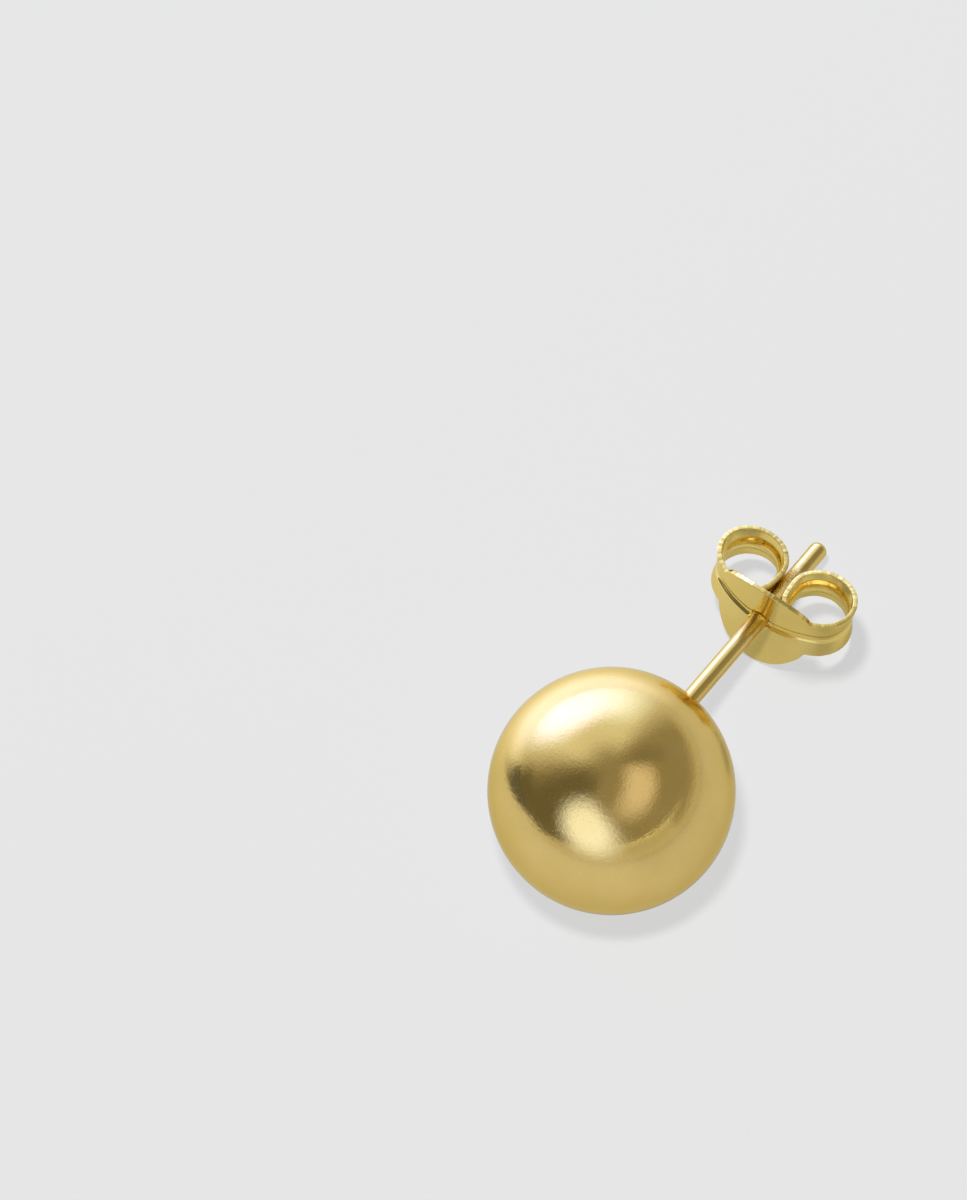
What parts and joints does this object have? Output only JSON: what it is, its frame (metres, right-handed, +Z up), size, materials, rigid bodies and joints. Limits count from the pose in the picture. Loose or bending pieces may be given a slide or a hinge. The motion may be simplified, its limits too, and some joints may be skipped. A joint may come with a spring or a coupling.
{
  "type": "ball stud earring",
  "caption": "Gold ball stud earring: a satin ball on a straight round post, with a rolled butterfly clutch that slides along the post.",
  "frame": {"origin": "on the surface the stud lies on, under the middle of its overall length and width", "axes": "+Z up; +Y from the ball towards the post's tip, level with the surface; +X across the clutch's two loops. The post itself dips 15 degrees below +Y, because the stud rests on its ball and on the lower edge of the clutch's plate"},
  "size_m": [0.01, 0.0196, 0.01],
  "materials": {
    "satin_gold": "satin polished yellow gold",
    "bright_gold": "bright polished yellow gold"
  },
  "bodies": {
    "stud": {"ball_post": "satin_gold"},
    "clutch": {"butterfly_clutch": "bright_gold"}
  },
  "joints": [
    {"name": "clutch_slide", "type": "slide", "parent": "stud", "child": "clutch", "axis": [0, 0.9657, -0.2596], "range_m": [-0.0052, 0.004]}
  ]
}
